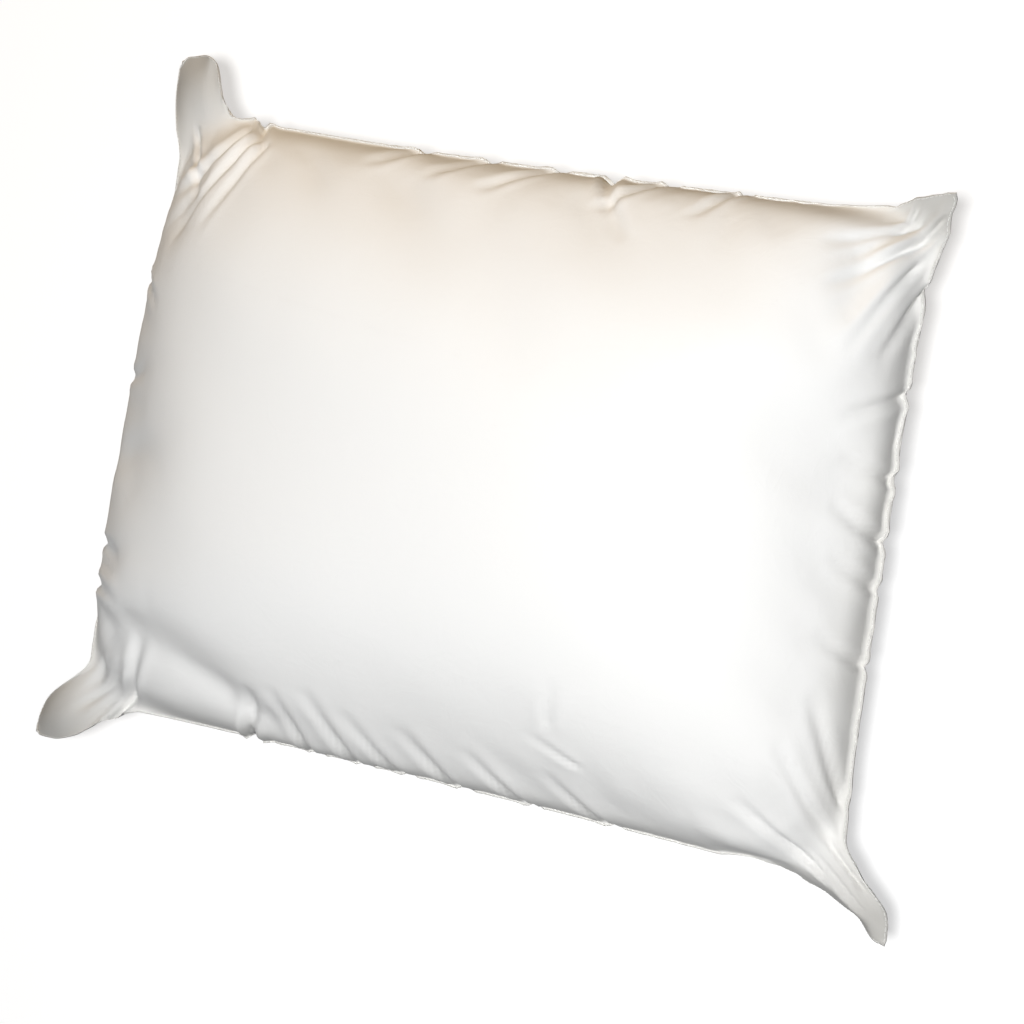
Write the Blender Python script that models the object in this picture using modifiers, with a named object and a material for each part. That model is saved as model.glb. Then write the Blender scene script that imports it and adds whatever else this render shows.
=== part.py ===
"""Bed pillow of three chambers, as separate closed solids. Metres, +Z up.

Two outer panels and two chamber walls are sewn together round their edges. They hold a
soft filling above and below and a firmer one in the middle. The pillow lies on its back
panel, with the origin on the ground under its middle, +X along its long side.
"""
import math
from dataclasses import dataclass

import bmesh
import bpy

OBJECT_NAME = "bed_pillow"

# Outline of the sewn edge, measured from the middle of the pillow.
BODY_HALF_LENGTH = 0.2965    # along X, at the middle of a short side
BODY_HALF_WIDTH = 0.2245     # along Y, at the middle of a long side
EAR_REACH_X = 0.0275         # of an ear's tip past the middle of a short side
EAR_REACH_Y = 0.0235         # of an ear's tip past the middle of a long side
EAR_SHARPNESS = 7.0          # higher keeps the ears nearer to the corners

# Heights. The sewn edge lies in one level plane.
SEAM_HEIGHT = 0.075          # of the sewn edge above the ground
CROWN_RISE = 0.094           # of the front panel above its own edge
CORE_RISE = 0.052            # of the upper chamber wall above its own edge
CORE_DROP = 0.040            # of the lower chamber wall below its own edge

# Roundness of the filled shape, and how much of its underside the ground flattens.
PLUMPNESS = 2.6              # higher is squarer in plan
EDGE_ROUNDING = 0.5          # a half makes the sides leave the edge like an ellipse
CONTACT_LEVEL = 0.80         # the share of full depth where the flat underside begins

# Cloth, thread and edges.
PANEL_THICKNESS = 0.0006
WALL_THICKNESS = 0.0004
THREAD_DIAMETER = 0.0006
LAYER_GAP = 0.0004           # between any two layers that lie against each other
RIM_WIDTH = 0.003            # of the sewn edge, outside the filled shape
CLOSING_LIP_WIDTH = 0.006    # of the topstitched edge on the +X side

# Fineness of every layer, so that layers nest cell by cell. Both counts are even.
CELLS_LONG = 16
CELLS_SHORT = 14
FILL_MARGIN_CELLS = 1        # the fillings stop this far short of the seam
THREAD_BEVEL_STEPS = 2

# Finish of each piece: colour, roughness, metallic value.
FINISHES = {
    "front_panel": ((0.93, 0.93, 0.92), 0.55, 0.0),
    "back_panel": ((0.91, 0.91, 0.90), 0.55, 0.0),
    "upper_chamber_wall": ((0.90, 0.90, 0.87), 0.70, 0.0),
    "lower_chamber_wall": ((0.88, 0.88, 0.85), 0.70, 0.0),
    "upper_chamber_fill": ((0.95, 0.95, 0.94), 0.90, 0.0),
    "core_fill": ((0.92, 0.92, 0.89), 0.90, 0.0),
    "lower_chamber_fill": ((0.94, 0.94, 0.93), 0.90, 0.0),
    "perimeter_seam_thread": ((0.89, 0.89, 0.88), 0.50, 0.0),
    "closing_seam_thread": ((0.89, 0.89, 0.88), 0.50, 0.0),
}

# What follows from the sizes above: how far each layer's outer face lies from the seam
# plane at the edge, and how far its filled shape stands in from the front panel's.
WALL_EDGE_LEVEL = THREAD_DIAMETER / 2 + LAYER_GAP + WALL_THICKNESS
PANEL_EDGE_LEVEL = WALL_EDGE_LEVEL + LAYER_GAP + PANEL_THICKNESS
PANEL_STEP = PANEL_THICKNESS + LAYER_GAP
WALL_STEP = WALL_THICKNESS + LAYER_GAP
BACK_DROP = SEAM_HEIGHT - PANEL_EDGE_LEVEL
LIP_SHIFT = (RIM_WIDTH - CLOSING_LIP_WIDTH) / 2    # keeps the origin under the middle

UPPER = 1
LOWER = -1


@dataclass(frozen=True)
class Layer:
    """One domed face of cloth or filling, on one side of the plane of the seam."""

    side: int      # UPPER or LOWER
    inset: float   # how far its edge stands in from the front panel's
    level: float   # distance of its edge from the seam plane
    rise: float    # how much further out its middle lies than its edge

    def point(self, u, v, grow_x=0.0, grow_y=0.0):
        """The face's point at parameters u and v, with its edge at -1 and 1."""
        x, y = outline_point(u, v, grow_x - self.inset, grow_y - self.inset)
        height = self.level + self.rise * rise_share(u, v, self.side)
        return x, y, SEAM_HEIGHT + self.side * height

    def moved_in(self, step):
        """The face that lies inside this one by step, or outside it if step is negative."""
        return Layer(self.side, self.inset + step, self.level - step, self.rise)


FRONT = Layer(UPPER, 0.0, PANEL_EDGE_LEVEL, CROWN_RISE)
BACK = Layer(LOWER, 0.0, PANEL_EDGE_LEVEL, BACK_DROP)
UPPER_WALL = Layer(UPPER, PANEL_STEP, WALL_EDGE_LEVEL, CORE_RISE)
LOWER_WALL = Layer(LOWER, PANEL_STEP, WALL_EDGE_LEVEL, CORE_DROP)


def plan_share(t):
    """Share of the half size at parameter t from -1 to 1, denser towards the seam."""
    return math.sin(t * math.pi / 2)


def outline_point(u, v, grow_x=0.0, grow_y=0.0):
    """X and Y at parameters u and v, whose edge is the sewn edge made larger by grow."""
    along, across = plan_share(u), plan_share(v)
    ear_x = EAR_REACH_X * abs(across) ** EAR_SHARPNESS
    ear_y = EAR_REACH_Y * abs(along) ** EAR_SHARPNESS
    x = along * (BODY_HALF_LENGTH + ear_x + grow_x)
    y = across * (BODY_HALF_WIDTH + ear_y + grow_y)
    return x + LIP_SHIFT, y


def fullness(u, v):
    """How filled the shape is at u and v, from 0 at the seam to 1 in the middle."""
    from_ends = max(0.0, 1 - abs(plan_share(u)) ** PLUMPNESS)
    from_sides = max(0.0, 1 - abs(plan_share(v)) ** PLUMPNESS)
    return (from_ends * from_sides) ** EDGE_ROUNDING


def rise_share(u, v, side):
    """Share of a face's rise at u and v. The ground flattens the lower side."""
    full = fullness(u, v)
    if side == UPPER:
        return full
    if full >= CONTACT_LEVEL:
        return 1.0
    return 1 - (1 - full / CONTACT_LEVEL) ** 2


def new_grid(cells_x, cells_y):
    """A flat grid over -1 to 1 in X and Y, facing up, each cell split from the middle out."""
    grid = bmesh.new()
    bmesh.ops.create_grid(grid, x_segments=cells_x, y_segments=cells_y, size=1.0)
    for face in list(grid.faces):
        inner = min(face.verts, key=lambda vertex: vertex.co.length_squared)
        outer = max(face.verts, key=lambda vertex: vertex.co.length_squared)
        bmesh.utils.face_split(face, inner, outer)
    return grid


def rimmed_parameter(value, cells):
    """The parameter of a grid line, and whether the line is the outer edge of the rim."""
    total = cells + 2
    index = round((value + 1) / 2 * total)
    inner = min(max(index - 1, 0), cells)
    return 2 * inner / cells - 1, index in (0, total)


def finish_material(name):
    """The piece's own material, from its colour, roughness and metallic value."""
    colour, roughness, metallic = FINISHES[name]
    material = bpy.data.materials.new(name + "_finish")
    material.use_nodes = True
    shader = material.node_tree.nodes["Principled BSDF"]
    shader.inputs["Base Color"].default_value = (*colour, 1.0)
    shader.inputs["Roughness"].default_value = roughness
    shader.inputs["Metallic"].default_value = metallic
    return material


def add_piece(collection, name, data):
    """An object of its own for a sub-part, in the collection and with its material."""
    piece = bpy.data.objects.new(name, data)
    collection.objects.link(piece)
    data.materials.append(finish_material(name))
    return piece


def add_mesh_piece(collection, name, shape):
    """A smooth-shaded piece from a finished bmesh, which is freed."""
    data = bpy.data.meshes.new(name)
    shape.to_mesh(data)
    shape.free()
    data.shade_smooth()
    return add_piece(collection, name, data)


def add_cloth(collection, name, layer, thickness):
    """A domed piece of cloth with a flat rim round it. The layer is its outer face."""
    grid = new_grid(CELLS_LONG + 2, CELLS_SHORT + 2)
    for vertex in grid.verts:
        u, on_end = rimmed_parameter(vertex.co.x, CELLS_LONG)
        v, on_side = rimmed_parameter(vertex.co.y, CELLS_SHORT)
        end_width = CLOSING_LIP_WIDTH if u > 0 else RIM_WIDTH
        grow_x = end_width + layer.inset if on_end else 0.0
        grow_y = RIM_WIDTH + layer.inset if on_side else 0.0
        vertex.co = layer.point(u, v, grow_x, grow_y)
    if layer.side == LOWER:
        bmesh.ops.reverse_faces(grid, faces=grid.faces)
    piece = add_mesh_piece(collection, name, grid)
    shell = piece.modifiers.new("Cloth thickness", "SOLIDIFY")
    shell.thickness = thickness
    shell.offset = -1.0


def add_fill(collection, name, top, bottom):
    """A closed filling between two faces, which stops short of the seam and the ears."""
    cells_x = CELLS_LONG - 2 * FILL_MARGIN_CELLS
    cells_y = CELLS_SHORT - 2 * FILL_MARGIN_CELLS
    body = new_grid(cells_x, cells_y)
    lifted = bmesh.ops.extrude_face_region(body, geom=body.faces[:])
    upper = {item for item in lifted["geom"] if isinstance(item, bmesh.types.BMVert)}
    for vertex in body.verts:
        u = vertex.co.x * cells_x / CELLS_LONG
        v = vertex.co.y * cells_y / CELLS_SHORT
        layer = top if vertex in upper else bottom
        vertex.co = layer.point(u, v)
    bmesh.ops.recalc_face_normals(body, faces=body.faces)
    add_mesh_piece(collection, name, body)


def grid_steps(cells):
    """Parameters from -1 to 1 at the grid lines of a panel."""
    return [2 * index / cells - 1 for index in range(cells + 1)]


def perimeter_points():
    """Stitch line in the middle of the rim, round the three sides away from the lip."""
    middle = RIM_WIDTH / 2
    steps_x, steps_y = grid_steps(CELLS_LONG), grid_steps(CELLS_SHORT)
    side = [outline_point(u, 1, 0.0, middle) for u in steps_x[1:]]
    other_side = [outline_point(u, -1, 0.0, middle) for u in steps_x[1:]]
    far_end = [outline_point(-1, v, middle) for v in steps_y[1:-1]]
    corners = [outline_point(-1, v, middle, middle) for v in (-1, 1)]
    return other_side[::-1] + corners[:1] + far_end + corners[1:] + side


def closing_points():
    """Stitch line along the middle of the closing lip, from one ear to the other."""
    middle = CLOSING_LIP_WIDTH / 2
    return [outline_point(1, v, middle) for v in grid_steps(CELLS_SHORT)]


def add_thread(collection, name, points):
    """A thread between the rims of the chamber walls, along points in the seam plane."""
    path = bpy.data.curves.new(name, "CURVE")
    path.dimensions = "3D"
    path.bevel_depth = THREAD_DIAMETER / 2
    path.bevel_resolution = THREAD_BEVEL_STEPS
    path.use_fill_caps = True
    line = path.splines.new("POLY")
    line.points.add(len(points) - 1)
    for target, (x, y) in zip(line.points, points):
        target.co = (x, y, SEAM_HEIGHT, 1.0)
    add_piece(collection, name, path)


def add_outer_panels(collection):
    """The front and back panels, which are all that shows of the cloth."""
    add_cloth(collection, "front_panel", FRONT, PANEL_THICKNESS)
    add_cloth(collection, "back_panel", BACK, PANEL_THICKNESS)


def add_chamber_walls(collection):
    """The two inner layers of cloth, which part the fillings."""
    add_cloth(collection, "upper_chamber_wall", UPPER_WALL, WALL_THICKNESS)
    add_cloth(collection, "lower_chamber_wall", LOWER_WALL, WALL_THICKNESS)


def add_fillings(collection):
    """The soft fillings under each outer panel, and the firm one between the walls."""
    add_fill(collection, "upper_chamber_fill",
             FRONT.moved_in(PANEL_STEP), UPPER_WALL.moved_in(-LAYER_GAP))
    add_fill(collection, "core_fill",
             UPPER_WALL.moved_in(WALL_STEP), LOWER_WALL.moved_in(WALL_STEP))
    add_fill(collection, "lower_chamber_fill",
             LOWER_WALL.moved_in(-LAYER_GAP), BACK.moved_in(PANEL_STEP))


def add_threads(collection):
    """The thread of the three-sided seam, and that of the closing seam."""
    add_thread(collection, "perimeter_seam_thread", perimeter_points())
    add_thread(collection, "closing_seam_thread", closing_points())


def clear_scene():
    """Remove every object of the open scene."""
    for item in list(bpy.data.objects):
        bpy.data.objects.remove(item, do_unlink=True)


def main():
    """Build the pillow from the outside in."""
    clear_scene()
    collection = bpy.data.collections.new(OBJECT_NAME)
    bpy.context.scene.collection.children.link(collection)
    add_outer_panels(collection)
    add_chamber_walls(collection)
    add_fillings(collection)
    add_threads(collection)


main()
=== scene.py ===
"""Looks of the bed pillow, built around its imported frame. Metres, +Z up.

The two outer panels are one closed bag of flat-cut ticking, filled and settled by a cloth
simulation. Everything else is taken from the settled bag: the seam edge, the stitches, the
chamber walls and the three fillings.
"""
import logging
import math
from collections.abc import Callable
from dataclasses import dataclass
from enum import Enum

import bpy
import numpy as np
from mathutils import Matrix, Vector


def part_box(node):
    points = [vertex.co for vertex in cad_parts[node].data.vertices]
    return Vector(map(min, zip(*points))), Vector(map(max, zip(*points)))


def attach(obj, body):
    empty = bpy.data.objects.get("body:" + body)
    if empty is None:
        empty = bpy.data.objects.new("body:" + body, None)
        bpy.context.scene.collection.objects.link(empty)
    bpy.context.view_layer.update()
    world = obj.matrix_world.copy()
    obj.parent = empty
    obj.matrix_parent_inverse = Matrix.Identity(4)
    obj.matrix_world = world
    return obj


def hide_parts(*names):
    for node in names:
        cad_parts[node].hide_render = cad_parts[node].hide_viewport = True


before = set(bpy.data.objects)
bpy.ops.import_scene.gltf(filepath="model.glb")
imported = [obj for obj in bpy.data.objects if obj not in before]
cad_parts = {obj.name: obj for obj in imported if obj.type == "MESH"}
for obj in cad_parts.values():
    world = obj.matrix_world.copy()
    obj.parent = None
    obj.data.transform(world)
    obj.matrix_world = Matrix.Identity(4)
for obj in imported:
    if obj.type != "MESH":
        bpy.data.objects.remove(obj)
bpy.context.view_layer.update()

log = logging.getLogger("bed_pillow")

BODY = "root"
CUT_MAP = "Cut"                  # the UV map that holds a place on the flat cut
PANEL_GAP = 0.0016               # the least distance between the outer faces of the panels


class Side(Enum):
    """The two outer panels: which way each one faces."""

    FRONT = 1
    BACK = -1


# ---------------------------------------------------------------------------
# Small tools for selecting and making objects
# ---------------------------------------------------------------------------

def deselect_all() -> None:
    """Leave nothing selected, as an operator acts on all that is."""
    bpy.ops.object.select_all(action="DESELECT")


def choose(*pieces: bpy.types.Object) -> None:
    """Select only these objects, and make the first one active.

    Args:
        pieces: the objects to select.
    """
    deselect_all()
    for piece in pieces:
        piece.select_set(True)
    bpy.context.view_layer.objects.active = pieces[0]


def edit_all(*steps: Callable[[], object]) -> None:
    """Run operators on the whole mesh of the active object, in edit mode.

    Args:
        steps: the operators, in order.
    """
    bpy.ops.object.mode_set(mode="EDIT")
    bpy.ops.mesh.select_all(action="SELECT")
    for step in steps:
        step()
    bpy.ops.object.mode_set(mode="OBJECT")


def face_outwards() -> None:
    """Turn the selected faces of a closed mesh to point out."""
    bpy.ops.mesh.normals_make_consistent(inside=False)


def positions(mesh: bpy.types.Mesh) -> np.ndarray:
    """Read a mesh's vertices.

    Args:
        mesh: the mesh to read.

    Returns:
        An array of one row of X, Y and Z for each vertex.
    """
    places = np.empty(len(mesh.vertices) * 3, np.float32)
    mesh.vertices.foreach_get("co", places)
    return places.reshape(-1, 3).astype(float)


def set_positions(mesh: bpy.types.Mesh, places: np.ndarray) -> None:
    """Write a mesh's vertices.

    Args:
        mesh: the mesh to change.
        places: one row of X, Y and Z for each vertex.
    """
    mesh.vertices.foreach_set("co", places.astype(np.float32).ravel())
    mesh.update()


def add_grid(name: str, cells_x: int, cells_y: int) -> bpy.types.Object:
    """Add a flat grid of the given fineness, facing up, with an even UV map.

    Args:
        name: the object's name.
        cells_x: how many cells it has along X.
        cells_y: how many cells it has along Y.

    Returns:
        The new object, whose grid spans -1 to 1.
    """
    deselect_all()
    bpy.ops.mesh.primitive_grid_add(x_subdivisions=cells_x, y_subdivisions=cells_y, size=2.0)
    grid = bpy.context.object
    grid.name = name
    grid.data.name = name
    grid.data.uv_layers[0].name = CUT_MAP
    return grid


def crossings(flat: np.ndarray, cells_x: int, cells_y: int) -> tuple[np.ndarray, np.ndarray]:
    """Find the crossing that each vertex of a flat grid stands at.

    Args:
        flat: the grid's vertices, which span -1 to 1.
        cells_x: how many cells it has along X.
        cells_y: how many cells it has along Y.

    Returns:
        The column and the row of each vertex.
    """
    column = np.rint((flat[:, 0] + 1) / 2 * cells_x).astype(int)
    row = np.rint((flat[:, 1] + 1) / 2 * cells_y).astype(int)
    return column, row


def grid_order(mesh: bpy.types.Mesh, cells_x: int, cells_y: int) -> np.ndarray:
    """Find which vertex stands at each crossing of a grid that spans -1 to 1.

    Args:
        mesh: the grid's mesh, still flat.
        cells_x: how many cells it has along X.
        cells_y: how many cells it has along Y.

    Returns:
        An array of vertex numbers, one row for each grid line along X.
    """
    flat = positions(mesh)
    order = np.empty((cells_x + 1, cells_y + 1), int)
    order[crossings(flat, cells_x, cells_y)] = np.arange(len(flat))
    return order


def shape_grid(piece: bpy.types.Object, surface: np.ndarray) -> None:
    """Bend a flat grid object into a surface.

    Args:
        piece: an object from add_grid.
        surface: a place for each crossing, as an array of columns, rows and X, Y, Z.
    """
    cells_x, cells_y = surface.shape[0] - 1, surface.shape[1] - 1
    order = grid_order(piece.data, cells_x, cells_y)
    places = np.empty((order.size, 3))
    places[order.ravel()] = surface.reshape(-1, 3)
    set_positions(piece.data, places)


def finish_piece(piece: bpy.types.Object, finish: bpy.types.Material, node: str) -> None:
    """Give a piece its material and smooth shading, hang it on the body, and hide the frame's node
    that it replaces.

    Args:
        piece: the finished object.
        finish: its material.
        node: the frame's node that it replaces.
    """
    piece.data.materials.clear()
    piece.data.materials.append(finish)
    choose(piece)
    bpy.ops.object.shade_smooth()
    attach(piece, BODY)
    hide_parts(node)
    log.info("%s: %d faces", piece.name, len(piece.data.polygons))


# ---------------------------------------------------------------------------
# Arithmetic on surfaces
# ---------------------------------------------------------------------------

def unit(vectors: np.ndarray) -> np.ndarray:
    """Make vectors one long.

    Args:
        vectors: an array whose last axis is X, Y, Z.

    Returns:
        The same array with each vector at length one.
    """
    return vectors / np.maximum(np.linalg.norm(vectors, axis=-1, keepdims=True), 1e-12)


def surface_normals(surface: np.ndarray) -> np.ndarray:
    """Work out which way a gridded surface faces at each crossing.

    Args:
        surface: a place for each crossing.

    Returns:
        A unit vector for each crossing, up where the grid is flat.
    """
    along = np.gradient(surface, axis=0)
    across = np.gradient(surface, axis=1)
    return unit(np.cross(along, across))


def soften(values: np.ndarray, rounds: int) -> np.ndarray:
    """Average each crossing with its neighbours, and leave the border as it is.

    Args:
        values: a number or vector for each crossing.
        rounds: how many times to average.

    Returns:
        The softened array.
    """
    made = values.copy()
    for _ in range(rounds):
        around = made[:-2, 1:-1] + made[2:, 1:-1] + made[1:-1, :-2] + made[1:-1, 2:]
        made[1:-1, 1:-1] = (made[1:-1, 1:-1] + around) / 5
    return made


def refine_once(values: np.ndarray) -> np.ndarray:
    """Put a new crossing midway between each two along the first axis, on a smooth curve.

    Args:
        values: a number or vector for each crossing.

    Returns:
        The array with nearly twice as many columns.
    """
    first = 2 * values[:1] - values[1:2]
    last = 2 * values[-1:] - values[-2:-1]
    padded = np.concatenate([first, values, last])
    middle = (9 * (padded[1:-2] + padded[2:-1]) - padded[:-3] - padded[3:]) / 16
    made = np.empty((2 * len(values) - 1, *values.shape[1:]))
    made[0::2] = values
    made[1::2] = middle
    return made


def refine(surface: np.ndarray) -> np.ndarray:
    """Make a gridded surface twice as fine both ways.

    Args:
        surface: a place for each crossing.

    Returns:
        The finer surface, which passes through every old crossing.
    """
    finer = refine_once(surface)
    return refine_once(finer.swapaxes(0, 1)).swapaxes(0, 1)


def sample(surface: np.ndarray, along: np.ndarray, across: np.ndarray) -> np.ndarray:
    """Read a gridded surface between its crossings.

    Args:
        surface: a place for each crossing.
        along: where to read along the first axis, from -1 to 1.
        across: where to read along the second axis, from -1 to 1.

    Returns:
        The places, blended from the four crossings round each.
    """
    last_x, last_y = surface.shape[0] - 1, surface.shape[1] - 1
    x = np.clip((along + 1) / 2 * last_x, 0, last_x - 1e-6)
    y = np.clip((across + 1) / 2 * last_y, 0, last_y - 1e-6)
    column, row = x.astype(int), y.astype(int)
    share_x, share_y = (x - column)[..., None], (y - row)[..., None]
    near = surface[column, row] * (1 - share_x) + surface[column + 1, row] * share_x
    far = surface[column, row + 1] * (1 - share_x) + surface[column + 1, row + 1] * share_x
    return near * (1 - share_y) + far * share_y


def fade(distance: np.ndarray, width: float | np.ndarray) -> np.ndarray:
    """A bell from one at no distance to nothing a few widths away."""
    return np.exp(-((distance / width) ** 2))


# ---------------------------------------------------------------------------
# The bag of ticking
# ---------------------------------------------------------------------------

@dataclass(frozen=True)
class FlatCut:
    """The rectangle that each outer panel is cut to, inside its seam."""

    length: float = 0.660
    width: float = 0.508
    corner: float = 0.010

    def place(self, along: np.ndarray, across: np.ndarray) -> np.ndarray:
        """Where a place on the square grid lies on the cut, whose corners are round.

        Args:
            along: how far along it is, -1 to 1.
            across: how far across it is, -1 to 1.

        Returns:
            Its X and Y from the middle of the cut, with a Z of nothing.
        """
        x, y = along * self.length / 2, across * self.width / 2
        past_x = np.clip(np.abs(x) - (self.length / 2 - self.corner), 0, None)
        past_y = np.clip(np.abs(y) - (self.width / 2 - self.corner), 0, None)
        straight = np.maximum(past_x, past_y)
        inward = 1 - straight / np.maximum(np.hypot(past_x, past_y), 1e-9)
        inward = np.where(np.minimum(past_x, past_y) > 0, inward, 0)
        x = x - np.sign(x) * past_x * inward
        y = y - np.sign(y) * past_y * inward
        return np.stack([x, y, np.zeros_like(x)], -1)

    def grid(self, cells_x: int, cells_y: int) -> tuple[np.ndarray, np.ndarray]:
        """Lay a grid over the cut.

        Args:
            cells_x: how many cells along it.
            cells_y: how many cells across it.

        Returns:
            Two arrays of -1 to 1: how far along and how far across each crossing lies.
        """
        along = np.linspace(-1, 1, cells_x + 1)
        across = np.linspace(-1, 1, cells_y + 1)
        return np.meshgrid(along, across, indexing="ij")


@dataclass(frozen=True)
class Ear:
    """An empty corner of the bag.

    Attributes:
        end: the end it is at, -1 or 1 along X.
        edge: the edge it is at, -1 or 1 along Y.
        tip: where its tip lies from the middle of the seam plane.
        turn: how far it is turned from its diagonal, in degrees, seen from above.
        tilt: how far it is turned up out of the seam plane, in degrees.
        roll: how far it is rolled about its own length, in degrees.
        narrow: its width, as a share of the flat cloth's, once it is pleated.
        pleat: the height of its pleats.
        pleat_width: the width of a pleat on the flat cloth.
        skew: how far its pleats slant from its diagonal, in degrees.
    """

    end: int
    edge: int
    tip: tuple[float, float, float]
    turn: float = 0.0
    tilt: float = 0.0
    roll: float = 0.0
    narrow: float = 0.8
    pleat: float = 0.0
    pleat_width: float = 0.02
    skew: float = 0.0

    def flap(self, flat: np.ndarray, corner: np.ndarray) -> np.ndarray:
        """The ear laid out flat, turned and tilted about its tip.

        Args:
            flat: places on the flat cut.
            corner: the place of this corner on the flat cut.

        Returns:
            Those places moved with the ear.
        """
        ahead = np.array([self.end, self.edge, 0.0]) / math.sqrt(2)
        sideways = np.array([-ahead[1], ahead[0], 0.0])
        out, off = (flat - corner) @ ahead, (flat - corner) @ sideways
        slant = math.radians(self.skew)
        across = off * math.cos(slant) + out * math.sin(slant)
        height = self.pleat * np.cos(2 * math.pi * across / self.pleat_width)
        height *= np.clip(-out / self.pleat_width, 0, 1)
        folded = np.stack([out, off * self.narrow, height], -1)
        roll = Matrix.Rotation(math.radians(self.roll), 3, "X")
        tilt = Matrix.Rotation(math.radians(-self.tilt), 3, "Y") @ roll
        facing = math.degrees(math.atan2(self.edge, self.end)) + self.turn
        turn = Matrix.Rotation(math.radians(facing), 3, "Z")
        return folded @ np.array(turn @ tilt).T + np.array(self.tip)

    def share(self, along: np.ndarray, across: np.ndarray, start: float,
              end: float) -> np.ndarray:
        """How much each place belongs to this ear.

        Args:
            along: how far along the cut, -1 to 1.
            across: how far across the cut, -1 to 1.
            start: the nearness to the tip at which the ear begins.
            end: the nearness at which it is all ear.

        Returns:
            A share from nothing to one.
        """
        near_end = np.clip(self.end * along, 0, 1)
        near_edge = np.clip(self.edge * across, 0, 1)
        rise = np.clip((near_end * near_edge - start) / (end - start), 0, 1)
        return rise * rise * (3 - 2 * rise)


@dataclass(frozen=True)
class Crease:
    """A fold pressed into the cloth along a line.

    Attributes:
        start: where it begins on the flat cut, in metres from its middle.
        end: where it fades out.
        depth: how far it sinks; a ridge has a negative depth.
        width: how wide it is.
        fading: lower keeps it deep for longer.
        waist: its width where it begins, as a share of the full one.
        shoulder_at: how many widths from its line the shoulders beside it stand.
        shoulder_rise: how high they are, as a share of the depth.
    """

    start: tuple[float, float]
    end: tuple[float, float]
    depth: float
    width: float
    fading: float = 0.7
    waist: float = 0.6
    shoulder_at: float = 1.9
    shoulder_rise: float = 0.35

    def height(self, x: np.ndarray, y: np.ndarray) -> np.ndarray:
        """How far the crease moves each place outwards.

        Args:
            x: place along the flat cut, in metres.
            y: place across the flat cut, in metres.

        Returns:
            The height, negative where the cloth sinks, with small shoulders beside it.
        """
        run_x, run_y = self.end[0] - self.start[0], self.end[1] - self.start[1]
        length = math.hypot(run_x, run_y)
        from_x, from_y = x - self.start[0], y - self.start[1]
        share = (from_x * run_x + from_y * run_y) / length ** 2
        off = (from_x * run_y - from_y * run_x) / length
        before = np.clip(1 + share * length / self.width, 0, 1)
        taper = np.clip(1 - share, 0, 1) ** self.fading * before
        narrow = self.width * (self.waist + (1 - self.waist) * np.clip(share, 0, 1))
        shoulder = fade(np.abs(off) - self.shoulder_at * narrow, narrow)
        return -self.depth * taper * (fade(off, narrow) - self.shoulder_rise * shoulder)


@dataclass
class Sheets:
    """The settled bag: a place for each crossing of its two panels."""

    front: np.ndarray
    back: np.ndarray

    def middle(self) -> np.ndarray:
        """The surface midway between the two panels."""
        return (self.front + self.back) / 2

    def keep_apart(self) -> None:
        """Push the two panels apart where they come nearer than their gap, or cross."""
        facing = surface_normals(soften(self.middle(), 2))
        apart = ((self.front - self.back) * facing).sum(-1, keepdims=True)
        push = facing * np.maximum(PANEL_GAP - apart, 0) / 2
        self.front = self.front + push
        self.back = self.back - push

    def crease(self, flat: np.ndarray, folds: tuple[Crease, ...], together: np.ndarray) -> None:
        """Press folds into the front panel, and into both where they lie on each other.

        Args:
            flat: the place of each crossing on the flat cut.
            folds: the folds to press in.
            together: how much the back panel moves with the front at each crossing.
        """
        lift = np.zeros(together.shape)
        for fold in folds:
            lift += fold.height(flat[..., 0], flat[..., 1])
        move = surface_normals(soften(self.front, 3)) * lift[..., None]
        self.front = self.front + move
        self.back = self.back + move * together[..., None]
        self.keep_apart()


CLOTH_RULES = {
    "quality": 6,
    "mass": 0.2,
    "tension_stiffness": 80,
    "compression_stiffness": 80,
    "shear_stiffness": 20,
    "bending_model": "ANGULAR",
    "tension_damping": 10,
    "compression_damping": 10,
    "shear_damping": 10,
    "bending_damping": 0.5,
    "air_damping": 2,
    "use_pressure": True,
    "uniform_pressure_force": 0,
    "use_pressure_volume": True,
    "pressure_factor": 200,
    "vertex_group_bending": "Stiff",
    "vertex_group_pressure": "Pressed",
    "vertex_group_mass": "Held",
    "vertex_group_shrink": "Gathered",
}


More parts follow.
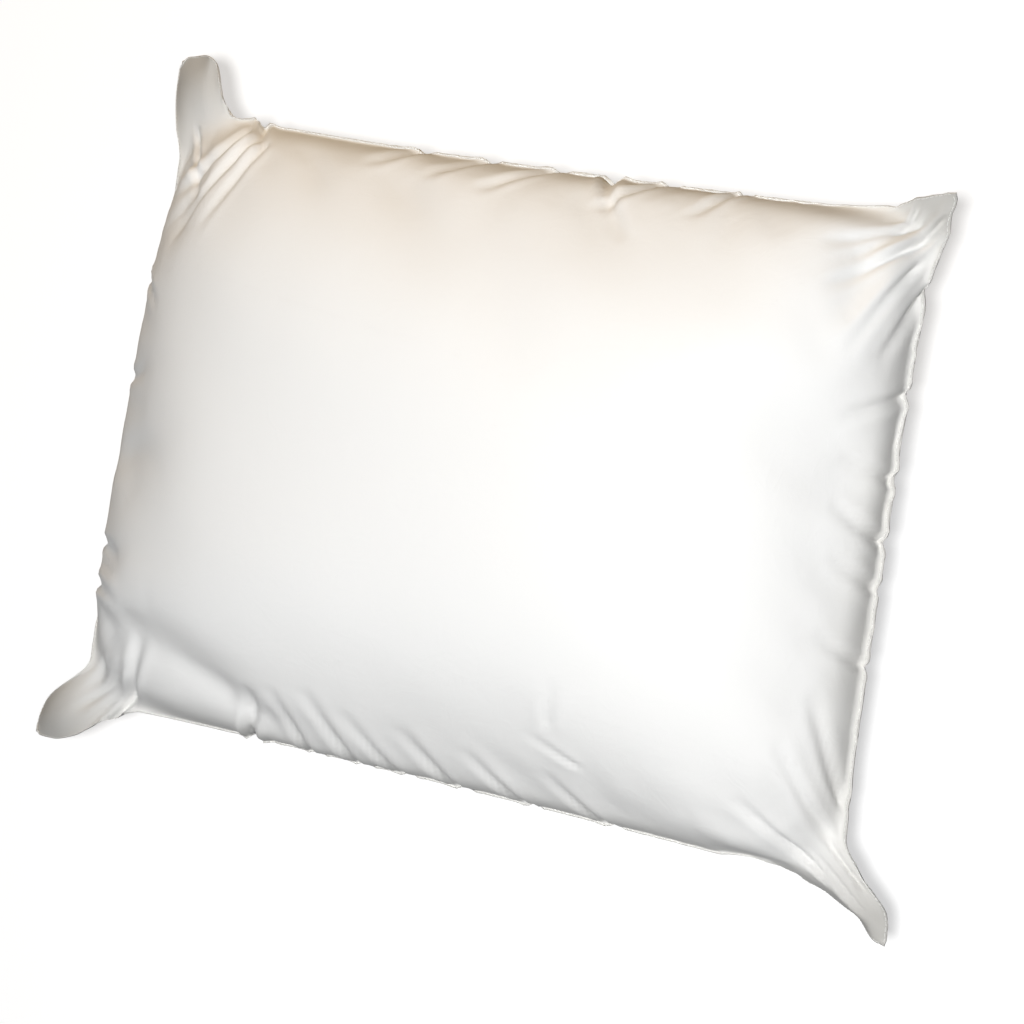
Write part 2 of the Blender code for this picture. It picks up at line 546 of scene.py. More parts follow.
@dataclass
class TickingBag:
    """The closed bag of both outer panels, filled and settled.

    Attributes:
        cut: the flat cut of each panel.
        seam_height: the height of the seam plane.
        centre_x: the middle of the sewn outline along X.
        crown: how high the front panel stands above the seam plane.
        ears: the four empty corners.
        cell: the size of the simulated cells.
        frames: how many frames the simulation runs.
        volume: what the filling takes up.
        body_half: half the filled body's length and width, at the middle of its sides.
        corner_half: the same at its corners.
        corner_sharpness: higher keeps the corners' reach closer to them.
        plumpness: higher makes the top flatter and the sides steeper.
        footprint: higher makes the body's corners squarer.
        edge_bulge: how much closer the cloth lies in plan towards the sides.
        half_thickness: half the body's thickness before it settles.
        ear_start: the nearness to a corner at which its ear begins.
        ear_end: the nearness at which it is all ear.
        ear_hold: how firmly the simulation holds an ear in its place.
        hold_start: the nearness to a corner at which that hold begins.
        hold_fade: the nearness over which it grows.
        tip_start: the nearness at which an ear's tip begins, which can't move at all.
        tip_fade: the nearness over which it becomes fixed.
        press_end: how far out the filling stops pressing, with the seam at about 1.
        press_fade: the distance over which it weakens before that.
        left_out: how far the plain end is let out in its middle.
        end_sharpness: higher keeps that closer to the end.
        calm_rounds: how often the whole cloth is averaged after it settles.
        taut_rounds: how often its middle is.
        taut_out: how far out that middle goes, with the seam at 1.
        taut_fade: the distance over which it ends.
        pucker: how much the seam gathers the cloth.
        pucker_reach: how far from the seam it does.
        bending: how stiff the cloth is.
        seam_bending: how stiff it is at the seam's fold.
        soft_seam: how far from the seam the cloth has its full stiffness.
        sewn_reach: how far from the seam the two panels move as one.
        press_band: how sharply the ground bends the underside.
        roughness: how high the small random ripples that it starts from are.
        seed: the start of those ripples.
    """

    cut: FlatCut
    seam_height: float
    centre_x: float
    crown: float
    ears: tuple[Ear, ...]
    cell: float = 0.0070
    frames: int = 45
    volume: float = 0.0335
    body_half: tuple[float, float] = (0.295, 0.222)
    corner_half: tuple[float, float] = (0.322, 0.246)
    corner_sharpness: float = 9.0
    plumpness: float = 2.6
    footprint: float = 6.5
    edge_bulge: float = 0.62
    half_thickness: float = 0.089
    ear_start: float = 0.72
    ear_end: float = 0.92
    ear_hold: float = 0.45
    hold_start: float = 0.74
    hold_fade: float = 0.12
    tip_start: float = 0.975
    tip_fade: float = 0.01
    press_end: float = 1.04
    press_fade: float = 0.06
    left_out: float = 0.007
    end_sharpness: int = 3
    calm_rounds: int = 2
    taut_rounds: int = 14
    taut_out: float = 0.88
    taut_fade: float = 0.2
    pucker: float = 0.05
    pucker_reach: float = 0.005
    bending: float = 0.1
    seam_bending: float = 0.005
    soft_seam: float = 0.020
    sewn_reach: float = 0.009
    press_band: float = 0.005
    roughness: float = 0.0009
    seed: int = 11

    def spread(self, share: np.ndarray) -> np.ndarray:
        """Where cloth lies in plan: closer together towards the steep sides."""
        turn = math.pi / 2 * self.edge_bulge
        return np.sin(share * turn) / math.sin(turn)

    def filled_shape(self, along: np.ndarray, across: np.ndarray, side: Side,
                     ripple: np.ndarray) -> np.ndarray:
        """The shape that the simulation starts from.

        Args:
            along: how far along the cut each place is, -1 to 1.
            across: how far across the cut each place is, -1 to 1.
            side: which panel.
            ripple: a small random height for each place.

        Returns:
            A place for each one, about the middle of the seam plane.
        """
        plan_x, plan_y = self.spread(along), self.spread(across)
        extra_x = self.corner_half[0] - self.body_half[0]
        extra_y = self.corner_half[1] - self.body_half[1]
        x = plan_x * (self.body_half[0] + extra_x * np.abs(across) ** self.corner_sharpness)
        y = plan_y * (self.body_half[1] + extra_y * np.abs(along) ** self.corner_sharpness)
        out = np.abs(plan_x) ** self.footprint + np.abs(plan_y) ** self.footprint
        full = np.clip(1 - out ** (self.plumpness / self.footprint), 0, 1) ** 0.5
        z = side.value * (self.half_thickness * full + PANEL_GAP / 2) + ripple
        made = np.stack([x, y, z], -1)
        flat = self.cut.place(along, across)
        for ear in self.ears:
            corner = self.cut.place(np.array(float(ear.end)), np.array(float(ear.edge)))
            flap = ear.flap(flat, corner)
            flap[..., 2] += ripple + side.value * (PANEL_GAP / 2)
            share = ear.share(along, across, self.ear_start, self.ear_end)[..., None]
            made += (flap - made) * share
        return made

    def sew(self, cells_x: int, cells_y: int) -> tuple[bpy.types.Object, np.ndarray, np.ndarray]:
        """Lay the two flat panels on each other and join them round the border.

        Args:
            cells_x: how many cells each panel has along it.
            cells_y: how many cells each panel has across it.

        Returns:
            The bag, and the vertex at each crossing of its front and its back.
        """
        front = add_grid("ticking_bag", cells_x, cells_y)
        back = add_grid("back_cut", cells_x, cells_y)
        edit_all(bpy.ops.mesh.flip_normals)
        mark = back.data.attributes.new("is_back", "INT", "POINT")
        mark.data.foreach_set("value", np.ones(len(back.data.vertices), np.int32))
        choose(front, back)
        bpy.ops.object.join()
        bag = bpy.context.object
        flat = positions(bag.data)
        border = np.abs(flat[:, :2]).max(1) > 1 - 1e-5
        bpy.ops.object.mode_set(mode="EDIT")
        bpy.ops.mesh.select_mode(type="VERT")
        bpy.ops.mesh.select_all(action="DESELECT")
        bpy.ops.object.mode_set(mode="OBJECT")
        bag.data.vertices.foreach_set("select", border)
        bpy.ops.object.mode_set(mode="EDIT")
        bpy.ops.mesh.remove_doubles(threshold=1e-4)
        bpy.ops.object.mode_set(mode="OBJECT")
        return bag, *self.panel_orders(bag.data, cells_x, cells_y)

    @staticmethod
    def panel_orders(mesh: bpy.types.Mesh, cells_x: int,
                     cells_y: int) -> tuple[np.ndarray, np.ndarray]:
        """Find each panel's vertices in the sewn bag.

        Args:
            mesh: the bag's mesh, still flat.
            cells_x: how many cells each panel has along it.
            cells_y: how many cells each panel has across it.

        Returns:
            The vertex at each crossing of the front, and of the back.
        """
        column, row = crossings(positions(mesh), cells_x, cells_y)
        is_back = np.empty(len(column), np.int32)
        mesh.attributes["is_back"].data.foreach_get("value", is_back)
        border = (column == 0) | (column == cells_x) | (row == 0) | (row == cells_y)
        orders = []
        for wanted in (0, 1):
            order = np.empty((cells_x + 1, cells_y + 1), int)
            mine = np.flatnonzero(border | (is_back == wanted))
            order[column[mine], row[mine]] = mine
            orders.append(order)
        return orders[0], orders[1]

    def settle(self) -> Sheets:
        """Sew, fill and simulate the bag.

        Returns:
            Its two panels in the frame's own place, twice as fine as simulated.
        """
        cell = self.cell * 1.0
        cells_x, cells_y = round(self.cut.length / cell), round(self.cut.width / cell)
        bag, front, back = self.sew(cells_x, cells_y)
        draw = np.random.default_rng(self.seed)
        along, across = self.cut.grid(cells_x, cells_y)
        start = np.empty((len(bag.data.vertices), 3))
        for side, order in ((Side.BACK, back), (Side.FRONT, front)):
            ripple = self.roughness * soften(draw.normal(0, 1, along.shape), 2)
            start[order.ravel()] = self.filled_shape(along, across, side, ripple).reshape(-1, 3)
        border = np.zeros(along.shape, bool)
        border[[0, -1], :] = True
        border[:, [0, -1]] = True
        start[front[border], 2] -= PANEL_GAP / 2
        square = positions(bag.data)
        set_positions(bag.data, self.cut.place(square[:, 0], square[:, 1]))
        self.simulate(bag, start, front, back, along, across)
        settled = positions(bag.data)
        bpy.data.objects.remove(bag)
        sheets = Sheets(*(self.calm(settled[order], along, across) for order in (front, back)))
        log.info("settled bag: box %s to %s", settled.min(0).round(4), settled.max(0).round(4))
        sheets = Sheets(refine(sheets.front), refine(sheets.back))
        return self.lay_down(sheets)

    def calm(self, surface: np.ndarray, along: np.ndarray, across: np.ndarray) -> np.ndarray:
        """Take the grid's own zigzag out of a panel, and most small folds out of its middle.

        Args:
            surface: a place for each crossing.
            along: how far along the cut each crossing is, -1 to 1.
            across: how far across the cut each crossing is, -1 to 1.

        Returns:
            The calmer surface.
        """
        smooth, taut = soften(surface, self.calm_rounds), soften(surface, self.taut_rounds)
        out = np.maximum(np.abs(along), np.abs(across))
        share = np.clip((self.taut_out - out) / self.taut_fade, 0, 1)[..., None]
        return smooth + (taut - smooth) * share

    def from_seam(self, along: np.ndarray, across: np.ndarray) -> np.ndarray:
        """How far each place is from the seam on the flat cut, in metres."""
        return np.minimum((1 - np.abs(along)) * self.cut.length / 2,
                          (1 - np.abs(across)) * self.cut.width / 2)

    def sewn_share(self, along: np.ndarray, across: np.ndarray) -> np.ndarray:
        """How much the two panels move as one: fully at the seam and in the ears."""
        shares = [ear.share(along, across, self.ear_start, self.ear_end) for ear in self.ears]
        return np.maximum(np.max(shares, 0), fade(self.from_seam(along, across), self.sewn_reach))

    def weights(self, along: np.ndarray, across: np.ndarray) -> dict[str, np.ndarray]:
        """Work out what the filling and the sewing do to each place.

        Args:
            along: how far along the cut each crossing is, -1 to 1.
            across: how far across the cut each crossing is, -1 to 1.

        Returns:
            A weight from 0 to 1 for each crossing, by the name of its vertex group.
        """
        plan_x, plan_y = self.spread(along), self.spread(across)
        power = self.footprint
        out = (np.abs(plan_x) ** power + np.abs(plan_y) ** power) ** (1 / power)
        from_seam = self.from_seam(along, across)
        nearness = np.abs(along * across)
        tip = np.clip((nearness - self.tip_start) / self.tip_fade, 0, 1)
        hold = self.ear_hold * np.clip((nearness - self.hold_start) / self.hold_fade, 0, 1)
        return {
            "Pressed": np.clip((self.press_end - out) / self.press_fade, 0, 1),
            "Held": np.maximum(tip, hold),
            "Gathered": np.exp(-from_seam / self.pucker_reach),
            "Stiff": np.clip(from_seam / self.soft_seam, 0, 1),
        }

    def simulate(self, bag: bpy.types.Object, start: np.ndarray, front: np.ndarray,
                 back: np.ndarray, along: np.ndarray, across: np.ndarray) -> None:
        """Fill the bag with cloth simulation, and apply the result to its mesh.

        Args:
            bag: the flat bag.
            start: the shape that it starts from.
            front: the vertex at each crossing of the front.
            back: the vertex at each crossing of the back.
            along: how far along the cut each crossing is, -1 to 1.
            across: how far across the cut each crossing is, -1 to 1.
        """
        bag.shape_key_add(name="Flat")
        filled = bag.shape_key_add(name="Filled")
        filled.data.foreach_set("co", start.astype(np.float32).ravel())
        filled.value = 1.0
        for name, weights in self.weights(along, across).items():
            group = bag.vertex_groups.new(name=name)
            for order in (front, back):
                for vertex, weight in zip(order.ravel().tolist(), weights.ravel().tolist()):
                    group.add([vertex], weight, "REPLACE")
        cloth = bag.modifiers.new("Cloth", "CLOTH")
        rules = cloth.settings
        rules.rest_shape_key = bag.data.shape_keys.key_blocks["Flat"]
        for name, value in CLOTH_RULES.items():
            setattr(rules, name, value)
        rules.bending_stiffness = self.seam_bending
        rules.bending_stiffness_max = self.bending
        rules.target_volume = self.volume
        rules.shrink_min, rules.shrink_max = 0.0, self.pucker
        rules.effector_weights.gravity = 0
        cloth.collision_settings.use_collision = False
        frames = self.frames
        scene = bpy.context.scene
        scene.frame_start, scene.frame_end = 1, frames
        cloth.point_cache.frame_start, cloth.point_cache.frame_end = 1, frames
        for number in range(1, frames + 1):
            scene.frame_set(number)
        choose(bag)
        bpy.ops.object.convert(target="MESH")

    def lay_down(self, sheets: Sheets) -> Sheets:
        """Move the settled bag to its place, with its underside flat on the ground.

        Args:
            sheets: the bag about the middle of the seam plane.

        Returns:
            The bag as it lies in the frame.
        """
        sheets.keep_apart()
        rise = self.crown / sheets.front[..., 2].max()
        upper, lower = sheets.front.copy(), sheets.back.copy()
        shallow, deep = self.seam_height - self.press_band, self.seam_height + self.press_band
        for surface in (upper, lower):
            level = surface[..., 2]
            depth = -np.where(level > 0, level * rise, level)
            bend = np.clip(depth, shallow, deep) - shallow
            pressed = np.minimum(depth, shallow) + bend - bend ** 2 / (2 * (deep - shallow))
            surface[..., 2] = self.seam_height - np.where(depth > shallow, pressed, depth)
            at_left = np.clip(-surface[..., 0] / self.body_half[0], 0, 1) ** self.end_sharpness
            middle = np.clip(1 - (surface[..., 1] / self.body_half[1]) ** 2, 0, 1)
            surface[..., 0] += self.centre_x - self.left_out * at_left * middle
        return Sheets(upper, lower)


# ---------------------------------------------------------------------------
# Panels, walls, fillings and threads
# ---------------------------------------------------------------------------

@dataclass(frozen=True)
class SeamEdge:
    """The flat edge outside the seam line, where the panels are sewn together.

    Attributes:
        plain: its width on three sides.
        lip: its width at the closing end.
        rings: how many strips of faces it has.
        reach: how many crossings further in its direction is read from.
        smoothing: how often that direction is averaged along the border.
    """

    plain: float = 0.0018
    lip: float = 0.0034
    rings: int = 3
    reach: int = 3
    smoothing: int = 6

    def add_to(self, surface: np.ndarray, middle: np.ndarray) -> np.ndarray:
        """Extend a panel past its seam line.

        Args:
            surface: the panel, up to the seam line.
            middle: the surface midway between both panels.

        Returns:
            The panel with the edge round it.
        """
        made = surface
        for axis in (0, 1):
            low = self.outward(middle, axis, 0) * self.plain
            high = self.outward(middle, axis, -1) * (self.lip if axis == 0 else self.plain)
            if axis == 1:
                low = self.widen(low)
                high = self.widen(high)
            lined = np.moveaxis(made, axis, 0)
            before = [lined[0] + low * ring / self.rings for ring in range(self.rings, 0, -1)]
            after = [lined[-1] + high * ring / self.rings for ring in range(1, self.rings + 1)]
            made = np.moveaxis(np.concatenate([before, lined, after]), 0, axis)
        return made

    def line(self, middle: np.ndarray, axis: int, end: int) -> tuple[np.ndarray, np.ndarray]:
        """The stitch line along one border, in the middle of the edge.

        Args:
            middle: the surface midway between both panels.
            axis: 0 for a border at an end, 1 for one at an edge.
            end: 0 for the first border, -1 for the last.

        Returns:
            Its points, and which way is out of the front panel at each.
        """
        width = self.lip if axis == 0 and end == -1 else self.plain
        border = np.moveaxis(middle, axis, 0)[end]
        facing = np.moveaxis(surface_normals(soften(middle, 2)), axis, 0)[end]
        return border + self.outward(middle, axis, end) * width / 2, facing

    def outward(self, middle: np.ndarray, axis: int, end: int) -> np.ndarray:
        """Which way leads out of the bag along one border.

        Args:
            middle: the surface midway between both panels.
            axis: 0 for a border at an end, 1 for one at an edge.
            end: 0 for the first border, -1 for the last.

        Returns:
            A unit vector for each crossing of that border.
        """
        lined = np.moveaxis(middle, axis, 0)
        inner = lined[self.reach] if end == 0 else lined[-1 - self.reach]
        way = unit(lined[end] - inner)
        smooth = way.copy()
        for _ in range(self.smoothing):
            smooth[1:-1] = (smooth[:-2] + 2 * smooth[1:-1] + smooth[2:]) / 4
        return unit(smooth)

    def widen(self, border: np.ndarray) -> np.ndarray:
        """Repeat the first and last entries once for each ring beyond them.

        Args:
            border: a vector for each crossing of a border.

        Returns:
            The longer array.
        """
        first = np.repeat(border[:1], self.rings, 0)
        last = np.repeat(border[-1:], self.rings, 0)
        return np.concatenate([first, border, last])


def cloth_piece(name: str, surface: np.ndarray, side: Side, thickness: float) -> bpy.types.Object:
    """Make a piece of cloth from a grid, and give it its thickness inwards.

    Args:
        name: the piece's name.
        surface: a place for each crossing of its outer face.
        side: which way it faces.
        thickness: how thick the cloth is.

    Returns:
        The finished mesh object.
    """
    piece = add_grid(name, surface.shape[0] - 1, surface.shape[1] - 1)
    shape_grid(piece, surface)
    if side is Side.BACK:
        edit_all(bpy.ops.mesh.flip_normals)
    shell = piece.modifiers.new("Cloth thickness", "SOLIDIFY")
    shell.thickness = thickness
    shell.offset = -1.0
    choose(piece)
    bpy.ops.object.modifier_apply(modifier=shell.name)
    return piece


@dataclass
class OuterPanel:
    """The front or back panel of ticking, with its part of the seam edge.

    Attributes:
        side: which panel it is.
        surface: a place for each crossing of its outer face, edge included.
        thickness: the thickness of its cloth.
    """

    side: Side
    surface: np.ndarray
    thickness: float = 0.0005

    def build(self) -> bpy.types.Object:
        """Make the panel.

        Returns:
            The finished mesh object.
        """
        name = "front_ticking_panel" if self.side is Side.FRONT else "back_ticking_panel"
        return cloth_piece(name, self.surface, self.side, self.thickness)


@dataclass
class ChamberWall:
    """An inner layer of ticking, between a soft filling and the firm one.

    Attributes:
        side: the outer panel that it is under.
        sheets: the settled bag.
        share: how far out it lies, as a share of the outer panel's own distance.
        clearance: how far inside the outer panel it stays at the least.
        thickness: the thickness of its cloth.
    """

    side: Side
    sheets: Sheets
    share: float = 0.55
    clearance: float = 0.0005
    thickness: float = 0.00025

    def surface(self, gap: float = 0.0) -> np.ndarray:
        """The wall's outer face, or one further in.

        Args:
            gap: how much further in.

        Returns:
            A place for each crossing of the bag.
        """
        middle = self.sheets.middle()
        outer = self.sheets.front if self.side is Side.FRONT else self.sheets.back
        reach = np.linalg.norm(outer - middle, axis=-1, keepdims=True)
        level = np.minimum(self.share * reach, reach - self.clearance) - gap
        return middle + (outer - middle) * np.maximum(level, 0) / reach

    def build(self, edge: SeamEdge) -> bpy.types.Object:
        """Make the wall, as fine as the outer panels, so that it never shows through them.

        Args:
            edge: the sewn edge that it reaches into.

        Returns:
            The finished mesh object.
        """
        name = "upper_inner_wall" if self.side is Side.FRONT else "lower_inner_wall"
        surface = edge.add_to(self.surface(), self.sheets.middle())
        return cloth_piece(name, surface, self.side, self.thickness)


@dataclass
class Filling:
    """A soft body between two faces, which stops short of the seam and the ears.

    Attributes:
        name: the piece's name.
        top: its upper face, up to the seam.
        bottom: its lower face, up to the seam.
        seed: the start of its random tufts.
        tuft: how far its tufts stand in from the faces.
        tuft_layers: the tufts' rounds of averaging and strength, from fine to broad.
        tuft_spread: how many deviations of the tufts go from none to full.
        least: the least thickness that tufts leave, as a share of the whole.
        reach: how far out it goes, as a share of the way to the seam.
        footprint: higher makes its corners squarer.
        rim: its thickness at its border, as a share of the space there.
        rim_sharpness: higher rounds it off closer to the border.
        cells_x: how many cells it has along X.
        cells_y: how many cells it has along Y.
    """

    name: str
    top: np.ndarray
    bottom: np.ndarray
    seed: int
    tuft: float = 0.0016
    tuft_layers: tuple[tuple[int, float], ...] = ((1, 0.35), (5, 0.6), (24, 1.0))
    tuft_spread: float = 4
    least: float = 0.3
    reach: float = 0.95
    footprint: float = 5.0
    rim: float = 0.06
    rim_sharpness: int = 10
    cells_x: int = 120
    cells_y: int = 92

    def build(self) -> bpy.types.Object:
        """Make the filling from a grid that is lifted off itself.

        Returns:
            The finished mesh object.
        """
        body = add_grid(self.name, self.cells_x, self.cells_y)
        order = grid_order(body.data, self.cells_x, self.cells_y)
        up = {"value": (0, 0, 1)}
        edit_all(lambda: bpy.ops.mesh.extrude_region_move(TRANSFORM_OT_translate=up))
        flat = positions(body.data)
        along, across = flat[:, 0], flat[:, 1]
        square = np.maximum(np.abs(along), np.abs(across))
        round_size = (np.abs(along) ** self.footprint + np.abs(across) ** self.footprint)
        shrink = self.reach * square / np.maximum(round_size, 1e-12) ** (1 / self.footprint)
        u, v = along * shrink, across * shrink
        top, bottom = sample(self.top, u, v), sample(self.bottom, u, v)
        centre, half = (top + bottom) / 2, (top - bottom) / 2
        rounded = np.sqrt(np.clip(1 - square ** self.rim_sharpness, 0, 1))[:, None]
        swell = self.rim + (1 - self.rim) * rounded
        upper = flat[:, 2:3] > 0.5
        tufts = self.tufts(flat, order)[:, None]
        thick = np.maximum(np.linalg.norm(half, axis=1, keepdims=True), 1e-6)
        held = np.clip(thick - self.tuft * tufts, self.least * thick, None) / thick
        places = centre + half * swell * held * np.where(upper, 1, -1)
        set_positions(body.data, places)
        edit_all(face_outwards)
        return body

    def tufts(self, flat: np.ndarray, order: np.ndarray) -> np.ndarray:
        """Work out how much the loose fibres stand in at each vertex.

        Args:
            flat: the grid and its lifted copy, still flat.
            order: the vertex at each crossing of the first grid.

        Returns:
            A share from 0 to about 1 for each vertex.
        """
        draw = np.random.default_rng(self.seed)
        made = np.empty(len(flat))
        column, row = crossings(flat, self.cells_x, self.cells_y)
        for upper in (False, True):
            total = np.zeros(order.shape)
            for rounds, share in self.tuft_layers:
                layer = soften(draw.normal(0, 1, order.shape), rounds)
                total += share * layer / layer.std()
            total = np.clip(0.5 + total / self.tuft_spread, 0, 1)
            mine = (flat[:, 2] > 0.5) == upper
            made[mine] = total[column[mine], row[mine]]
        return made


@dataclass(frozen=True)
class LockStitch:
    """A row of machine stitches: one thread over the cloth and one under it.

    Attributes:
        pitch: the length of a stitch.
        thread: the thread's diameter.
        half_stack: half the thickness of the layers it sews together.
        stand: how far above the cloth the thread's middle is, in diameters.
        arch: how far along a stitch each of its points is, and how high it stands.
        bevel_steps: how round the thread is.
    """

    pitch: float = 0.0030
    thread: float = 0.00045
    half_stack: float = PANEL_GAP / 2
    stand: float = 0.3
    arch: tuple[tuple[float, float], ...] = ((0.0, 0.0), (0.16, 0.86), (0.5, 1.0), (0.84, 0.86))
    bevel_steps: int = 1

    def build(self, name: str, line: np.ndarray, facing: np.ndarray) -> bpy.types.Object:
        """Sew along a line.

        Args:
            name: the piece's name.
            line: points along the seam, in the middle of its layers.
            facing: which way is out of the front panel at each point.

        Returns:
            The finished mesh object, of both threads.
        """
        steps = np.linalg.norm(np.diff(line, axis=0), axis=1)
        length = np.concatenate([[0.0], np.cumsum(steps)])
        stitches = max(2, round(length[-1] / self.pitch))
        path = bpy.data.curves.new(name, "CURVE")
        path.dimensions = "3D"
        path.bevel_depth = self.thread / 2
        path.bevel_resolution = self.bevel_steps
        path.use_fill_caps = True
        shares, lifts = np.array(self.arch).T
        rises = np.append(np.tile(lifts, stitches), 0.0)
        places = np.append((np.arange(stitches)[:, None] + shares).ravel(), stitches)
        at = places / stitches * length[-1]
        points = np.stack([np.interp(at, length, line[:, axis]) for axis in range(3)], 1)
        out = unit(np.stack([np.interp(at, length, facing[:, axis]) for axis in range(3)], 1))
        height = self.half_stack + self.thread * self.stand
        for side in Side:
            spline = path.splines.new("POLY")
            spline.points.add(len(points) - 1)
            sewn = points + out * (side.value * height * rises)[:, None]
            rows = np.concatenate([sewn, np.ones((len(sewn), 1))], 1)
            spline.points.foreach_set("co", rows.astype(np.float32).ravel())
        thread = bpy.data.objects.new(name, path)
        bpy.context.scene.collection.objects.link(thread)
        choose(thread)
        bpy.ops.object.convert(target="MESH")
        made = bpy.context.object
        edit_all(lambda: bpy.ops.mesh.remove_doubles(threshold=1e-6), face_outwards)
        return made


# ---------------------------------------------------------------------------
# Finishes
# ---------------------------------------------------------------------------

Colour = tuple[float, float, float]


class NodeBoard:
    """Adds nodes to one tree and joins them."""

    def __init__(self, tree: bpy.types.NodeTree) -> None:
        """Work on this tree."""
        self.tree = tree

    def add(self, kind: str, inputs: dict | None = None, **settings: object) -> bpy.types.Node:
        """Add a node.

        Args:
            kind: the node's type.
            inputs: a value for a socket by name or number, or the socket that feeds it.
            settings: the node's own settings.

        Returns:
            The new node.
        """
        node = self.tree.nodes.new(kind)
        for name, value in settings.items():
            setattr(node, name, value)
        for name, value in (inputs or {}).items():
            if isinstance(value, bpy.types.NodeSocket):
                self.tree.links.new(value, node.inputs[name])
            else:
                node.inputs[name].default_value = value
        return node

    def maths(self, operation: str, first: object, second: object = 0.0) -> bpy.types.NodeSocket:
        """Add a Math node and give its result."""
        node = self.add("ShaderNodeMath", {0: first, 1: second}, operation=operation)
        return node.outputs[0]

    def place(self, source: str, scale: tuple[float, float, float]) -> bpy.types.NodeSocket:
        """Coordinates to lay a pattern on.

        Args:
            source: the name of a UV map, or "Object" for the object's own coordinates.
            scale: how much each axis is stretched.

        Returns:
            The scaled coordinates.
        """
        if source == "Object":
            found = self.add("ShaderNodeTexCoord").outputs["Object"]
        else:
            found = self.add("ShaderNodeUVMap", uv_map=source).outputs["UV"]
        return self.add("ShaderNodeMapping", {"Vector": found, "Scale": scale}).outputs["Vector"]

    def noise(self, place: bpy.types.NodeSocket, scale: object, detail: float = 2.0,
              roughness: float = 0.5, distortion: float = 0.0) -> bpy.types.NodeSocket:
        """Add a Noise Texture and give its value.

        Args:
            place: the coordinates that it lies on.
            scale: how many of its features fit in a unit, or the socket that says so.
            detail: how many finer layers it has.
            roughness: how strong those are.
            distortion: how far it is stirred.

        Returns:
            Its value, around a half.
        """
        inputs = {"Vector": place, "Scale": scale, "Detail": detail, "Roughness": roughness,
                  "Distortion": distortion}
        return self.add("ShaderNodeTexNoise", inputs).outputs[0]

    def blend(self, share: object, first: object, second: object) -> bpy.types.NodeSocket:
        """Mix two colours and give the result.

        Args:
            share: how much of the second there is, or the socket that says so.
            first: a colour, or the socket of one.
            second: a colour, or the socket of one.

        Returns:
            The mixed colour.
        """
        ends = [part if isinstance(part, bpy.types.NodeSocket) else (*part, 1.0)
                for part in (first, second)]
        inputs = {0: share, 6: ends[0], 7: ends[1]}
        return self.add("ShaderNodeMix", inputs, data_type="RGBA").outputs[2]

    def use(self, tree: bpy.types.NodeTree, inputs: dict) -> bpy.types.Node:
        """Place a group with its own values."""
        return self.add("ShaderNodeGroup", inputs, node_tree=tree)

    def bump(self, height: bpy.types.NodeSocket, distance: float, strength: float = 1.0,
             below: bpy.types.NodeSocket | None = None) -> bpy.types.NodeSocket:
        """Add a Bump node on top of another one and give its normal.

        Args:
            height: the height, from 0 to about 1.
            distance: how high that is in metres.
            strength: how much of it is used.
            below: the normal that it starts from, where there is one.

        Returns:
            The new normal.
        """
        inputs = {"Height": height, "Distance": distance, "Strength": strength}
        if below is not None:
            inputs["Normal"] = below
        return self.add("ShaderNodeBump", inputs).outputs["Normal"]


